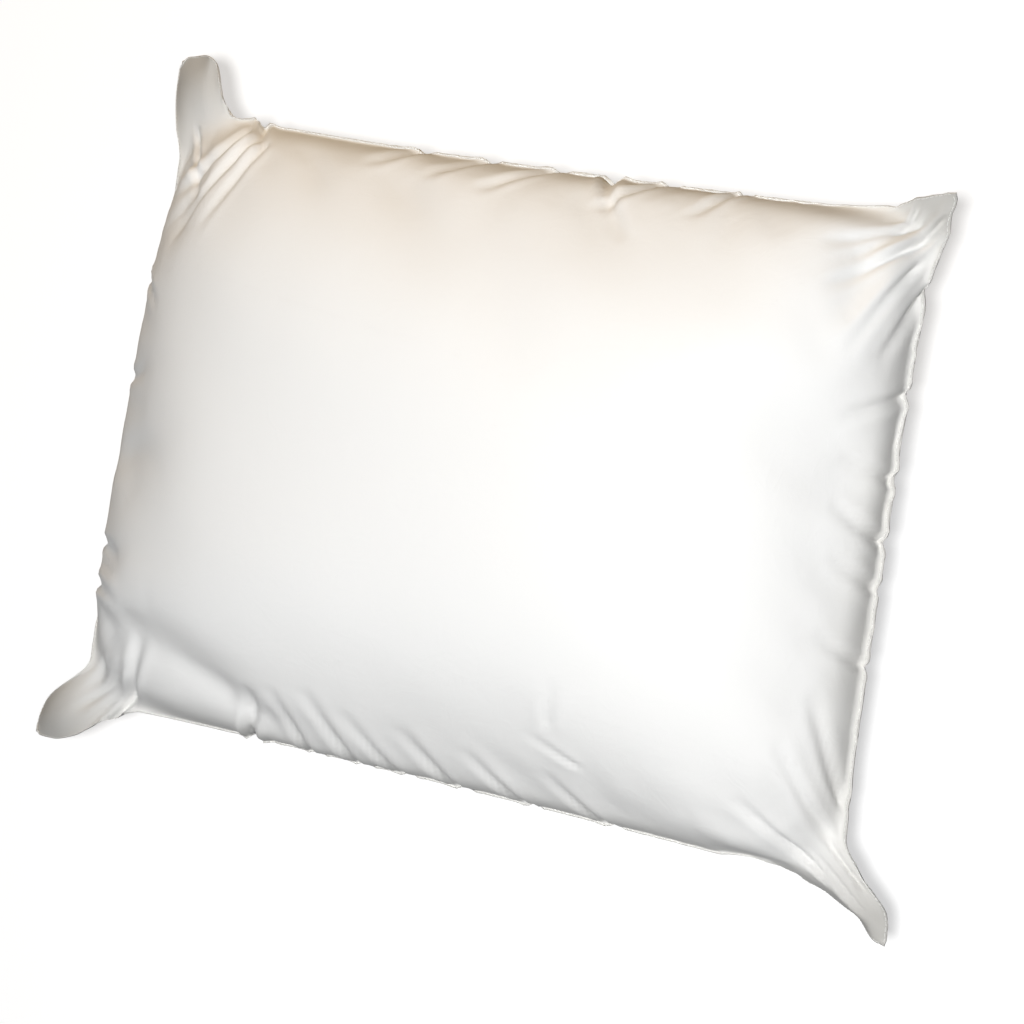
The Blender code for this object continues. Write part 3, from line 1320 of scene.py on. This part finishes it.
class ClothEffects:
    """The node groups that several finishes use, each built once."""

    SLUBS = ((900.0, 22.0, 1.0), (22.0, 900.0, 1.0))    # thick threads, each way
    FINER = 2.3                 # how many small crinkles lie in a broad one
    SHARPNESS = 6.0             # how narrow their ridges are
    SHARP_SHARE = 0.35          # how high they are beside the broad ones

    def __init__(self) -> None:
        """Build every group."""
        self.weave = self.group("Plain weave", ("Place",), ("Pitch",), ("Height", "Slub"))
        self.crinkle = self.group("Crisp crinkle", ("Place",), ("Size",), ("Height",))
        self.mottle = self.group("Soft mottling", ("Place",), ("Size",), ("Value",))
        self.fill_weave()
        self.fill_crinkle()
        self.fill_mottle()

    @staticmethod
    def group(name: str, vectors: tuple[str, ...], numbers: tuple[str, ...],
              results: tuple[str, ...]) -> bpy.types.NodeTree:
        """Make an empty node group with its sockets.

        Args:
            name: the group's name.
            vectors: the names of its vector inputs.
            numbers: the names of its number inputs.
            results: the names of its number outputs.

        Returns:
            The group's tree, with its input and output nodes.
        """
        tree = bpy.data.node_groups.new(name, "ShaderNodeTree")
        for title in vectors:
            tree.interface.new_socket(title, in_out="INPUT", socket_type="NodeSocketVector")
        for title in numbers:
            tree.interface.new_socket(title, in_out="INPUT", socket_type="NodeSocketFloat")
        for title in results:
            tree.interface.new_socket(title, in_out="OUTPUT", socket_type="NodeSocketFloat")
        tree.nodes.new("NodeGroupInput").name = "In"
        tree.nodes.new("NodeGroupOutput").name = "Out"
        return tree

    def fill_weave(self) -> None:
        """Threads that pass over and under each other, some thicker than others."""
        board, start, end = self.opened(self.weave)
        apart = board.add("ShaderNodeSeparateXYZ", {0: start.outputs["Place"]})
        turn = board.maths("DIVIDE", 2 * math.pi, start.outputs["Pitch"])
        across = [board.maths("SINE", board.maths("MULTIPLY", apart.outputs[axis], turn))
                  for axis in (0, 1)]
        crossing = board.maths("MULTIPLY", across[0], across[1])
        height = board.maths("MULTIPLY_ADD", crossing, 0.5)
        height.node.inputs[2].default_value = 0.5
        slubs = []
        for scale in self.SLUBS:
            inputs = {"Vector": start.outputs["Place"], "Scale": scale}
            drawn = board.add("ShaderNodeMapping", inputs)
            slubs.append(board.noise(drawn.outputs["Vector"], 1.0, detail=1.0))
        slub = board.maths("MULTIPLY", board.maths("ADD", *slubs), 0.5)
        self.weave.links.new(height, end.inputs["Height"])
        self.weave.links.new(slub, end.inputs["Slub"])

    def fill_crinkle(self) -> None:
        """Small sharp folds of crisp cloth, over broader soft ones."""
        board, start, end = self.opened(self.crinkle)
        place = start.outputs["Place"]
        scale = board.maths("DIVIDE", 1.0, start.outputs["Size"])
        broad = board.noise(place, scale, detail=2.0, distortion=0.5)
        finer = board.maths("MULTIPLY", scale, self.FINER)
        small = board.noise(place, finer, detail=3.0, distortion=1.2)
        ridge = board.maths("ABSOLUTE", board.maths("SUBTRACT", small, 0.5))
        sharp = board.maths("POWER", board.maths("SUBTRACT", 1.0, ridge), self.SHARPNESS)
        height = board.maths("ADD", broad, board.maths("MULTIPLY", sharp, self.SHARP_SHARE))
        self.crinkle.links.new(height, end.inputs["Height"])

    def fill_mottle(self) -> None:
        """Large soft patches."""
        board, start, end = self.opened(self.mottle)
        scale = board.maths("DIVIDE", 1.0, start.outputs["Size"])
        patch = board.noise(start.outputs["Place"], scale, detail=3.0, roughness=0.55)
        self.mottle.links.new(patch, end.inputs["Value"])

    @staticmethod
    def opened(tree: bpy.types.NodeTree) -> tuple[NodeBoard, bpy.types.Node, bpy.types.Node]:
        """A board for a group's tree, with its input and output nodes."""
        return NodeBoard(tree), tree.nodes["In"], tree.nodes["Out"]


def new_material(name: str) -> tuple[bpy.types.Material, NodeBoard, bpy.types.Node]:
    """Start a material.

    Args:
        name: its name.

    Returns:
        The material, a board for its nodes, and its Principled shader.
    """
    material = bpy.data.materials.new(name)
    material.use_nodes = True
    board = NodeBoard(material.node_tree)
    return material, board, material.node_tree.nodes["Principled BSDF"]


@dataclass(frozen=True)
class TickingFinish:
    """White down-proof cotton: a close plain weave, crisp, with a faint sheen.

    Attributes:
        name: the material's name.
        white: its colour where it is clean.
        seam_tone: its darker, warmer colour in patches round the seam.
        empty: its colour in the ears and in a band along the seam, where no white filling
        shows through it, and painted shade there as well.
        cut: the size of the cloth that its UV map covers.
        pitch: the distance between threads.
        crinkle: how high its small folds are.
        crinkle_size: how far apart they are.
        patch_size: the size of its uneven patches.
        slub_share: how much its thick threads show.
        slub_tone: how light they are beside the rest.
        thread_height: how high a thread stands where it passes over another.
        thread_share: how much of that shows.
        roughness: how dull it is.
        roughness_spread: how much that varies from patch to patch.
        sheen: how much its fibres shine at a low angle.
        sheen_roughness: how broad that shine is.
        gloss: its mirror shine.
    """

    name: str
    white: Colour
    seam_tone: Colour
    empty: Colour
    cut: tuple[float, float]
    pitch: float = 0.0006
    crinkle: float = 0.0002
    crinkle_size: float = 0.045
    patch_size: float = 0.12
    slub_share: float = 0.10
    slub_tone: float = 0.9
    thread_height: float = 0.00006
    thread_share: float = 0.6
    roughness: float = 0.62
    roughness_spread: float = 0.16
    sheen: float = 0.15
    sheen_roughness: float = 0.45
    gloss: float = 0.3

    def build(self, effects: ClothEffects) -> bpy.types.Material:
        """Make the material.

        Args:
            effects: the shared node groups.

        Returns:
            The material.
        """
        material, board, shader = new_material(self.name)
        place = board.place(CUT_MAP, (*self.cut, 1.0))
        weave = board.use(effects.weave, {"Place": place, "Pitch": self.pitch})
        crinkle = board.use(effects.crinkle, {"Place": place, "Size": self.crinkle_size})
        patches = board.use(effects.mottle, {"Place": place, "Size": self.patch_size})
        # Patches near the seam take the darker, warmer tone.
        near = board.add("ShaderNodeAttribute", attribute_name="near_seam").outputs["Fac"]
        share = board.maths("MULTIPLY", near, patches.outputs["Value"])
        # Painted shade: the ears and a band along the seam turn to the dark third colour, partly where
        # no filling shows through and partly as shade painted in.
        unfilled_painted_shade = board.add("ShaderNodeAttribute", attribute_name="unfilled_painted_shade").outputs["Fac"]
        tone = board.blend(unfilled_painted_shade, board.blend(share, self.white, self.seam_tone), self.empty)
        slub = board.maths("MULTIPLY", weave.outputs["Slub"], self.slub_share)
        darker = tuple(self.slub_tone * part for part in self.white)
        varied = board.maths("MULTIPLY", patches.outputs["Value"], self.roughness_spread)
        rough = board.maths("ADD", varied, self.roughness - self.roughness_spread / 2)
        normal = board.bump(crinkle.outputs["Height"], self.crinkle)
        normal = board.bump(weave.outputs["Height"], self.thread_height, self.thread_share, normal)
        links = material.node_tree.links
        links.new(board.blend(slub, tone, darker), shader.inputs["Base Color"])
        links.new(rough, shader.inputs["Roughness"])
        links.new(normal, shader.inputs["Normal"])
        shader.inputs["Sheen Weight"].default_value = self.sheen
        shader.inputs["Sheen Roughness"].default_value = self.sheen_roughness
        shader.inputs["Specular IOR Level"].default_value = self.gloss
        return material


@dataclass(frozen=True)
class ClothMarks:
    """Where a piece of cloth is tinted near its seam, and where no filling lies under it, a mark that
    also paints shade into the ears and along the seam.

    Widths are shares of the half cut, and nearness to a corner is 1 at its tip.

    Attributes:
        seam_tone_width: how far in from the seam it is tinted.
        seam_tone_power: higher keeps the tint closer to the seam.
        ear_start: the nearness to a corner at which the filling thins out and the painted shade
            begins.
        ear_fade: the nearness over which it ends.
        edge_width: how far in from the seam the filling is thin and shade is painted.
        edge_fade: the width over which it thickens before that.
        edge_share: how empty the seam itself is, and how strongly shade is painted there.
    """

    seam_tone_width: float = 0.16
    seam_tone_power: float = 1.5
    ear_start: float = 0.66
    ear_fade: float = 0.18
    edge_width: float = 0.036
    edge_fade: float = 0.012
    edge_share: float = 0.6

    def store(self, mesh: bpy.types.Mesh) -> None:
        """Store both marks on a mesh as attributes that its finish reads.

        Args:
            mesh: a piece of cloth with its UV map.
        """
        corners = np.empty(len(mesh.loops) * 2, np.float32)
        mesh.uv_layers[CUT_MAP].uv.foreach_get("vector", corners)
        owners = np.empty(len(mesh.loops), np.int32)
        mesh.loops.foreach_get("vertex_index", owners)
        place = np.zeros((len(mesh.vertices), 2))
        place[owners] = corners.reshape(-1, 2)
        out = np.abs(2 * place - 1)
        inside = 1 - out.max(1)
        near = np.clip(1 - inside / self.seam_tone_width, 0, 1) ** self.seam_tone_power
        in_ear = np.clip((out.prod(1) - self.ear_start) / self.ear_fade, 0, 1)
        in_edge = self.edge_share * np.clip((self.edge_width - inside) / self.edge_fade, 0, 1)
        # The second mark is partly where no filling lies under the cloth and partly shade painted into
        # the ears and along the seam.
        for name, values in (("near_seam", near), ("unfilled_painted_shade", np.maximum(in_ear, in_edge))):
            mark = mesh.attributes.new(name, "FLOAT", "POINT")
            mark.data.foreach_set("value", values.astype(np.float32))


@dataclass(frozen=True)
class FibreFinish:
    """Loose white filling: tangled fibres with no shine.

    Attributes:
        name: the material's name.
        light: the colour of its tufts.
        shade_between: the painted shade between them.
        tangle: the size of its tufts.
        depth: how deep they look.
        hairs: how many single fibres lie side by side in a metre, along X, Y and Z.
        hair_share: how high they stand beside the tufts.
        roughness: how dull it is.
        roughness_spread: how much that varies from fibre to fibre.
        gloss: its mirror shine.
    """

    name: str
    light: Colour
    shade_between: Colour
    tangle: float
    depth: float
    hairs: tuple[float, float, float] = (60.0, 600.0, 300.0)
    hair_share: float = 0.35
    roughness: float = 0.85
    roughness_spread: float = 0.1
    gloss: float = 0.2

    def build(self, effects: ClothEffects) -> bpy.types.Material:
        """Make the material.

        Args:
            effects: the shared node groups.

        Returns:
            The material.
        """
        material, board, shader = new_material(self.name)
        place = board.place("Object", (1.0, 1.0, 1.0))
        tufts = board.use(effects.mottle, {"Place": place, "Size": self.tangle}).outputs["Value"]
        hairs = board.noise(board.place("Object", self.hairs), 1.0, 4.0, 0.6, 2.5)
        height = board.maths("ADD", tufts, board.maths("MULTIPLY", hairs, self.hair_share))
        # Painted shade: the colour darkens where the tufts and fibres lie low, as in the bump.
        share = board.maths("MULTIPLY", board.maths("ADD", tufts, hairs), 0.5)
        rough = board.maths("MULTIPLY_ADD", hairs, self.roughness_spread)
        rough.node.inputs[2].default_value = self.roughness
        links = material.node_tree.links
        links.new(board.blend(share, self.shade_between, self.light), shader.inputs["Base Color"])
        links.new(rough, shader.inputs["Roughness"])
        links.new(board.bump(height, self.depth), shader.inputs["Normal"])
        shader.inputs["Specular IOR Level"].default_value = self.gloss
        return material


@dataclass(frozen=True)
class ThreadFinish:
    """Polyester sewing thread, twisted, a little glossier than the cloth.

    Attributes:
        name: the material's name.
        light: the colour of its plies.
        shade_between: the painted shade between them.
        twist: the distance between plies along the thread.
        ply_height: how high they stand.
        roughness: how dull it is.
        sheen: how much its fibres shine at a low angle.
    """

    WAVE = 0.314                # the Wave Texture's scale for one band in a metre

    name: str = "white_sewing_thread"
    light: Colour = (0.84, 0.84, 0.82)
    shade_between: Colour = (0.70, 0.70, 0.68)
    twist: float = 0.0007
    ply_height: float = 0.00005
    roughness: float = 0.42
    sheen: float = 0.2

    def build(self) -> bpy.types.Material:
        """Make the material.

        Returns:
            The material.
        """
        material, board, shader = new_material(self.name)
        place = board.place("Object", (1.0, 1.0, 1.0))
        inputs = {"Vector": place, "Scale": self.WAVE / self.twist, "Distortion": 1.5,
                  "Detail": 1.0}
        plies = board.add("ShaderNodeTexWave", inputs, bands_direction="DIAGONAL").outputs[1]
        links = material.node_tree.links
        # Painted shade: the colour darkens in the grooves between the plies, as in the bump.
        links.new(board.blend(plies, self.shade_between, self.light), shader.inputs["Base Color"])
        links.new(board.bump(plies, self.ply_height), shader.inputs["Normal"])
        shader.inputs["Roughness"].default_value = self.roughness
        shader.inputs["Sheen Weight"].default_value = self.sheen
        return material


@dataclass(frozen=True)
class FloorFinish:
    """A pale, plain studio floor. It lights the pillow from below less than it shows.

    Attributes:
        glow: how bright it is of itself where it is looked at.
        seen: its colour where it is looked at.
        bounced: its colour for the light that it throws back.
        patch_size: the size of its uneven patches.
        patch_share: how much they show.
        patch_tone: how light they are beside the rest.
        roughness: how dull it is.
        gloss: its mirror shine.
    """

    glow: float = 0.62
    seen: Colour = (0.46, 0.46, 0.46)
    bounced: Colour = (0.07, 0.07, 0.07)
    patch_size: float = 0.8
    patch_share: float = 0.04
    patch_tone: float = 0.95
    roughness: float = 0.9
    gloss: float = 0.1

    def build(self, effects: ClothEffects) -> bpy.types.Material:
        """Make the material.

        Args:
            effects: the shared node groups.

        Returns:
            The material.
        """
        material, board, shader = new_material("studio_floor")
        place = board.place("Object", (1.0, 1.0, 1.0))
        patches = board.use(effects.mottle, {"Place": place, "Size": self.patch_size})
        share = board.maths("MULTIPLY", patches.outputs["Value"], self.patch_share)
        darker = tuple(self.patch_tone * part for part in self.seen)
        looked_at = board.add("ShaderNodeLightPath").outputs["Is Camera Ray"]
        colour = board.blend(looked_at, self.bounced, board.blend(share, self.seen, darker))
        links = material.node_tree.links
        links.new(colour, shader.inputs["Base Color"])
        shader.inputs["Roughness"].default_value = self.roughness
        shader.inputs["Specular IOR Level"].default_value = self.gloss
        shader.inputs["Emission Color"].default_value = (1.0, 1.0, 1.0, 1.0)
        links.new(board.maths("MULTIPLY", looked_at, self.glow), shader.inputs["Emission Strength"])
        return material


# ---------------------------------------------------------------------------
# Studio
# ---------------------------------------------------------------------------

@dataclass(frozen=True)
class Lamp:
    """A round soft light.

    Attributes:
        name: what it is for.
        place: where it hangs.
        target: where it points.
        size: its width.
        power: its power in watts.
        colour: its colour.
    """

    name: str
    place: tuple[float, float, float]
    target: tuple[float, float, float]
    size: float
    power: float
    colour: Colour

    def build(self) -> None:
        """Hang the light up and aim it."""
        data = bpy.data.lights.new(self.name, "AREA")
        data.shape = "DISK"
        data.size = self.size
        data.energy = self.power
        data.color = self.colour
        lamp = bpy.data.objects.new(self.name, data)
        bpy.context.scene.collection.objects.link(lamp)
        way = Vector(self.target) - Vector(self.place)
        turn = way.to_track_quat("-Z", "Y").to_matrix().to_4x4()
        lamp.matrix_world = Matrix.Translation(self.place) @ turn


@dataclass(frozen=True)
class Studio:
    """A pale floor, soft light from beside the camera, and the camera.

    Attributes:
        place: where the camera stands.
        ahead: where it looks.
        above: what is up in the picture.
        lens: its focal length in millimetres, on a sensor of 36.
        lamps: the lights.
        surround: the strength of the even light from all round.
        floor_size: the floor's length and width.
        floor_level: its height, just under the pillow.
    """

    place: tuple[float, float, float] = (0.6614, 0.0106, 1.5999)
    ahead: tuple[float, float, float] = (-0.38543, -0.01959, -0.92250)
    above: tuple[float, float, float] = (-0.15977, 0.98518, 0.06243)
    lens: float = 83.76
    lamps: tuple[Lamp, ...] = (
        Lamp("key", (0.60, -0.08, 2.2), (0.0, 0.0, 0.08), 0.36, 52, (1.0, 1.0, 1.0)),
        Lamp("warm_fill", (-0.50, 1.6, 0.42), (0.0, 0.0, 0.08), 0.7, 6.6, (1.0, 0.58, 0.12)),
        Lamp("cool_fill", (0.2, -1.8, 0.6), (0.0, 0.0, 0.08), 0.9, 0.35, (0.50, 0.74, 1.0)),
    )
    surround: float = 0.02
    floor_size: float = 14.0
    floor_level: float = -0.0005

    def build(self, effects: ClothEffects) -> None:
        """Set up the camera, the floor and the lights.

        Args:
            effects: the shared node groups.
        """
        self.build_camera()
        self.build_floor(effects)
        for lamp in self.lamps:
            lamp.build()
        world = bpy.data.worlds.new("studio")
        world.use_nodes = True
        back = world.node_tree.nodes["Background"]
        back.inputs["Color"].default_value = (1.0, 1.0, 1.0, 1.0)
        back.inputs["Strength"].default_value = self.surround
        bpy.context.scene.world = world
        bpy.context.scene.view_settings.view_transform = "Standard"

    def build_camera(self) -> None:
        """Stand the camera in its place and make it the scene's."""
        data = bpy.data.cameras.new("camera")
        data.lens = self.lens
        data.sensor_width = 36.0
        camera = bpy.data.objects.new("camera", data)
        bpy.context.scene.collection.objects.link(camera)
        ahead = Vector(self.ahead).normalized()
        right = ahead.cross(Vector(self.above)).normalized()
        turn = Matrix((right, right.cross(ahead), -ahead)).transposed().to_4x4()
        camera.matrix_world = Matrix.Translation(self.place) @ turn
        bpy.context.scene.camera = camera

    def build_floor(self, effects: ClothEffects) -> None:
        """Lay the floor just under the pillow.

        Args:
            effects: the shared node groups.
        """
        deselect_all()
        bpy.ops.mesh.primitive_plane_add(size=self.floor_size, location=(0, 0, self.floor_level))
        ground = bpy.context.object
        ground.name = "studio_floor"
        ground.data.materials.append(FloorFinish().build(effects))


# ---------------------------------------------------------------------------
# The pillow
# ---------------------------------------------------------------------------

EARS = (
    Ear(-1, 1, (-0.306, 0.266, -0.018), turn=-3.0, tilt=-34.0, roll=-4.0, narrow=1.0,
        pleat=0.0010, pleat_width=0.030, skew=40.0),
    Ear(1, 1, (0.298, 0.229, 0.016), turn=2.0, tilt=24.0, roll=24.0, narrow=0.56,
        pleat=0.004, pleat_width=0.034, skew=-20.0),
    Ear(-1, -1, (-0.343, -0.252, -0.032), turn=7.0, tilt=-38.0, roll=24.0, narrow=0.95,
        pleat=0.0008, pleat_width=0.05),
    Ear(1, -1, (0.331, -0.254, -0.012), turn=-12.0, tilt=-14.0, roll=22.0, narrow=0.58,
        pleat=0.006, pleat_width=0.044, skew=8.0),
)

# Where each crease starts on the flat cut (X, Y), where it ends (X, Y), its depth and its width.
CREASE_ROWS = (
    (-0.133, -0.254, -0.128, -0.190, 0.0072, 0.0060),
    (-0.084, -0.254, -0.108, -0.182, 0.0036, 0.0050),
    (-0.049, -0.254, -0.080, -0.176, 0.0041, 0.0055),
    (-0.018, -0.254, -0.052, -0.190, 0.0031, 0.0050),
    (0.021, -0.254, -0.010, -0.196, 0.0036, 0.0055),
    (0.068, -0.254, 0.036, -0.202, 0.0034, 0.0050),
    (0.124, -0.254, 0.092, -0.206, 0.0029, 0.0050),
    (0.120, -0.192, 0.084, -0.170, 0.0018, 0.0045),
    (0.102, -0.157, 0.106, -0.120, 0.0014, 0.0060),
    (0.052, 0.254, 0.094, 0.186, 0.0053, 0.0055),
    (0.092, 0.254, 0.064, 0.212, 0.0047, 0.0050),
    (0.143, 0.254, 0.132, 0.216, 0.0047, 0.0050),
    (0.018, 0.254, -0.022, 0.214, 0.0043, 0.0050),
    (-0.030, 0.254, -0.062, 0.222, 0.0037, 0.0050),
    (-0.077, 0.254, -0.112, 0.226, 0.0034, 0.0050),
    (0.330, 0.090, 0.282, 0.078, 0.0035, 0.0050),
    (0.330, 0.040, 0.290, 0.052, 0.0027, 0.0045),
    (0.330, 0.003, 0.286, 0.024, 0.0035, 0.0050),
    (0.330, -0.024, 0.292, -0.008, 0.0030, 0.0045),
    (0.330, -0.070, 0.290, -0.058, 0.0027, 0.0045),
    (0.316, 0.180, 0.276, 0.120, 0.0036, 0.0060),
    (0.300, 0.200, 0.248, 0.168, 0.0036, 0.0060),
    (0.286, 0.222, 0.232, 0.206, 0.0030, 0.0055),
    (0.330, 0.160, 0.306, 0.112, 0.0038, 0.0050),
    (0.316, -0.190, 0.270, -0.132, 0.0036, 0.0060),
    (0.326, -0.160, 0.296, -0.092, 0.0032, 0.0060),
    (0.290, -0.230, 0.240, -0.186, 0.0040, 0.0060),
    (-0.330, 0.097, -0.276, 0.078, 0.0032, 0.0050),
    (-0.330, 0.020, -0.280, 0.030, 0.0027, 0.0050),
    (-0.330, -0.090, -0.276, -0.104, 0.0035, 0.0050),
    (-0.330, -0.120, -0.270, -0.140, 0.0041, 0.0055),
    (-0.256, -0.258, -0.246, -0.172, 0.0065, 0.0075),
    (-0.226, 0.238, -0.318, 0.148, 0.0044, 0.0055),
    (-0.214, 0.233, -0.282, 0.128, 0.0044, 0.0055),
    (-0.200, 0.230, -0.240, 0.140, 0.0034, 0.0050),
    (-0.214, 0.256, -0.205, 0.226, 0.0060, 0.0060),
    (-0.300, 0.214, -0.262, 0.160, 0.0030, 0.0060),
    (0.300, -0.258, 0.200, -0.258, 0.0140, 0.0170),
    (0.312, 0.204, 0.284, 0.186, 0.0036, 0.0070),
    (0.300, 0.228, 0.262, 0.196, 0.0030, 0.0070),
    (0.326, 0.228, 0.300, 0.196, 0.0042, 0.0070),
    (0.296, 0.246, 0.282, 0.214, 0.0030, 0.0050),
    (0.322, -0.214, 0.292, -0.166, 0.0040, 0.0060),
    (0.312, -0.236, 0.286, -0.212, 0.0034, 0.0050),
    (-0.310, 0.180, -0.268, 0.222, 0.0030, 0.0060),
    (-0.306, -0.196, -0.286, -0.244, 0.0026, 0.0070),
    (-0.290, -0.230, -0.262, -0.200, 0.0030, 0.0080),
)
CREASES = tuple(Crease(row[:2], row[2:4], *row[4:]) for row in CREASE_ROWS)


@dataclass
class Pillow:
    """The whole pillow, from the outer panels inwards.

    Attributes:
        sheets: the settled bag.
        cut: the flat cut of its cloth.
        edge: the sewn edge outside its seam line.
        effects: the shared node groups.
        under_panel: how far the soft fillings stay inside the outer panels.
        over_wall: how far they stay off the chamber walls' outer faces.
        under_wall: how far the firm filling stays inside those faces.
    """

    sheets: Sheets
    cut: FlatCut
    edge: SeamEdge
    effects: ClothEffects
    under_panel: float = 0.0011
    over_wall: float = 0.0003
    under_wall: float = 0.0006

    def build(self) -> None:
        """Build every piece."""
        self.build_panels()
        self.build_walls()
        self.build_fillings()
        self.build_threads()

    def cloth_size(self) -> tuple[float, float]:
        """The size of the cloth that a panel's UV map covers."""
        length = self.cut.length + self.edge.plain + self.edge.lip
        return length, self.cut.width + 2 * self.edge.plain

    def build_panels(self) -> None:
        """Build the two outer panels."""
        # The third colour is painted shade for the ears and the seam band, where also no filling shows
        # through.
        finish = TickingFinish("white_ticking", (0.86, 0.86, 0.85), (0.78, 0.76, 0.70),
                               (0.48, 0.47, 0.445), self.cloth_size()).build(self.effects)
        middle = self.sheets.middle()
        parts = ((Side.FRONT, self.sheets.front, "front_panel"),
                 (Side.BACK, self.sheets.back, "back_panel"))
        for side, surface, node in parts:
            panel = OuterPanel(side, self.edge.add_to(surface, middle)).build()
            ClothMarks().store(panel.data)
            finish_piece(panel, finish, node)

    def build_walls(self) -> None:
        """Build the two chamber walls."""
        # The walls' third colour is the same painted shade, paler.
        finish = TickingFinish("plain_inner_ticking", (0.80, 0.80, 0.77), (0.76, 0.75, 0.70),
                               (0.70, 0.69, 0.66), self.cloth_size(),
                               pitch=0.0009).build(self.effects)
        for side, node in ((Side.FRONT, "upper_chamber_wall"), (Side.BACK, "lower_chamber_wall")):
            wall = ChamberWall(side, self.sheets).build(self.edge)
            ClothMarks().store(wall.data)
            finish_piece(wall, finish, node)

    def build_fillings(self) -> None:
        """Build the two soft fillings and the firm one between them."""
        # The second colour of each filling is painted shade between its tufts.
        soft = FibreFinish("soft_filling", (0.90, 0.90, 0.89), (0.74, 0.73, 0.70), 0.016, 0.0016)
        firm = FibreFinish("core_filling", (0.86, 0.85, 0.80), (0.68, 0.66, 0.60), 0.028, 0.0022)
        soft_look, firm_look = soft.build(self.effects), firm.build(self.effects)
        upper, lower = (ChamberWall(side, self.sheets) for side in Side)
        above, below = (ChamberWall(side, self.sheets, share=1.0, clearance=self.under_panel).surface()
                        for side in Side)
        on_upper, on_lower = upper.surface(-self.over_wall), lower.surface(-self.over_wall)
        core_top, core_bottom = upper.surface(self.under_wall), lower.surface(self.under_wall)
        parts = (
            (Filling("upper_soft_filling", above, on_upper, 21), soft_look,
             "upper_chamber_fill", "soft_filling", 0.7),
            (Filling("firm_core_filling", core_top, core_bottom, 22), firm_look,
             "core_fill", "core_filling", 0.9),
            (Filling("lower_soft_filling", on_lower, below, 23), soft_look,
             "lower_chamber_fill", "soft_filling", 0.7),
        )
        for filling, look, node, slot, fill in parts:
            piece = filling.build()
            finish_piece(piece, look, node)

    def build_threads(self) -> None:
        """Sew the three plain sides with one thread, and topstitch the closing end."""
        finish = ThreadFinish().build()
        middle = self.sheets.middle()
        bottom, top = (self.edge.line(middle, 1, end) for end in (0, -1))
        far = self.edge.line(middle, 0, 0)
        points = np.concatenate([bottom[0][::-1], far[0], top[0]])
        facing = np.concatenate([bottom[1][::-1], far[1], top[1]])
        plain = LockStitch().build("perimeter_stitches", points, facing)
        finish_piece(plain, finish, "perimeter_seam_thread")
        lip = LockStitch(pitch=0.0036, thread=0.0005)
        closing = lip.build("closing_topstitch", *self.edge.line(middle, 0, -1))
        finish_piece(closing, finish, "closing_seam_thread")


def main() -> None:
    """Build the studio, settle the bag, and build the pillow from it."""
    logging.basicConfig(level=logging.INFO, format="%(message)s")
    deselect_all()
    effects = ClothEffects()
    Studio().build(effects)
    seam = (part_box("front_panel")[0][2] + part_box("back_panel")[1][2]) / 2
    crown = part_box("front_panel")[1][2] - seam
    cut = FlatCut()
    bag = TickingBag(cut, seam_height=seam, centre_x=-0.0035, crown=crown, ears=EARS)
    sheets = bag.settle()
    along, across = cut.grid(sheets.front.shape[0] - 1, sheets.front.shape[1] - 1)
    sheets.crease(cut.place(along, across), CREASES, bag.sewn_share(along, across))
    Pillow(sheets, cut, SeamEdge(), effects).build()


if __name__ == "__main__":
    main()
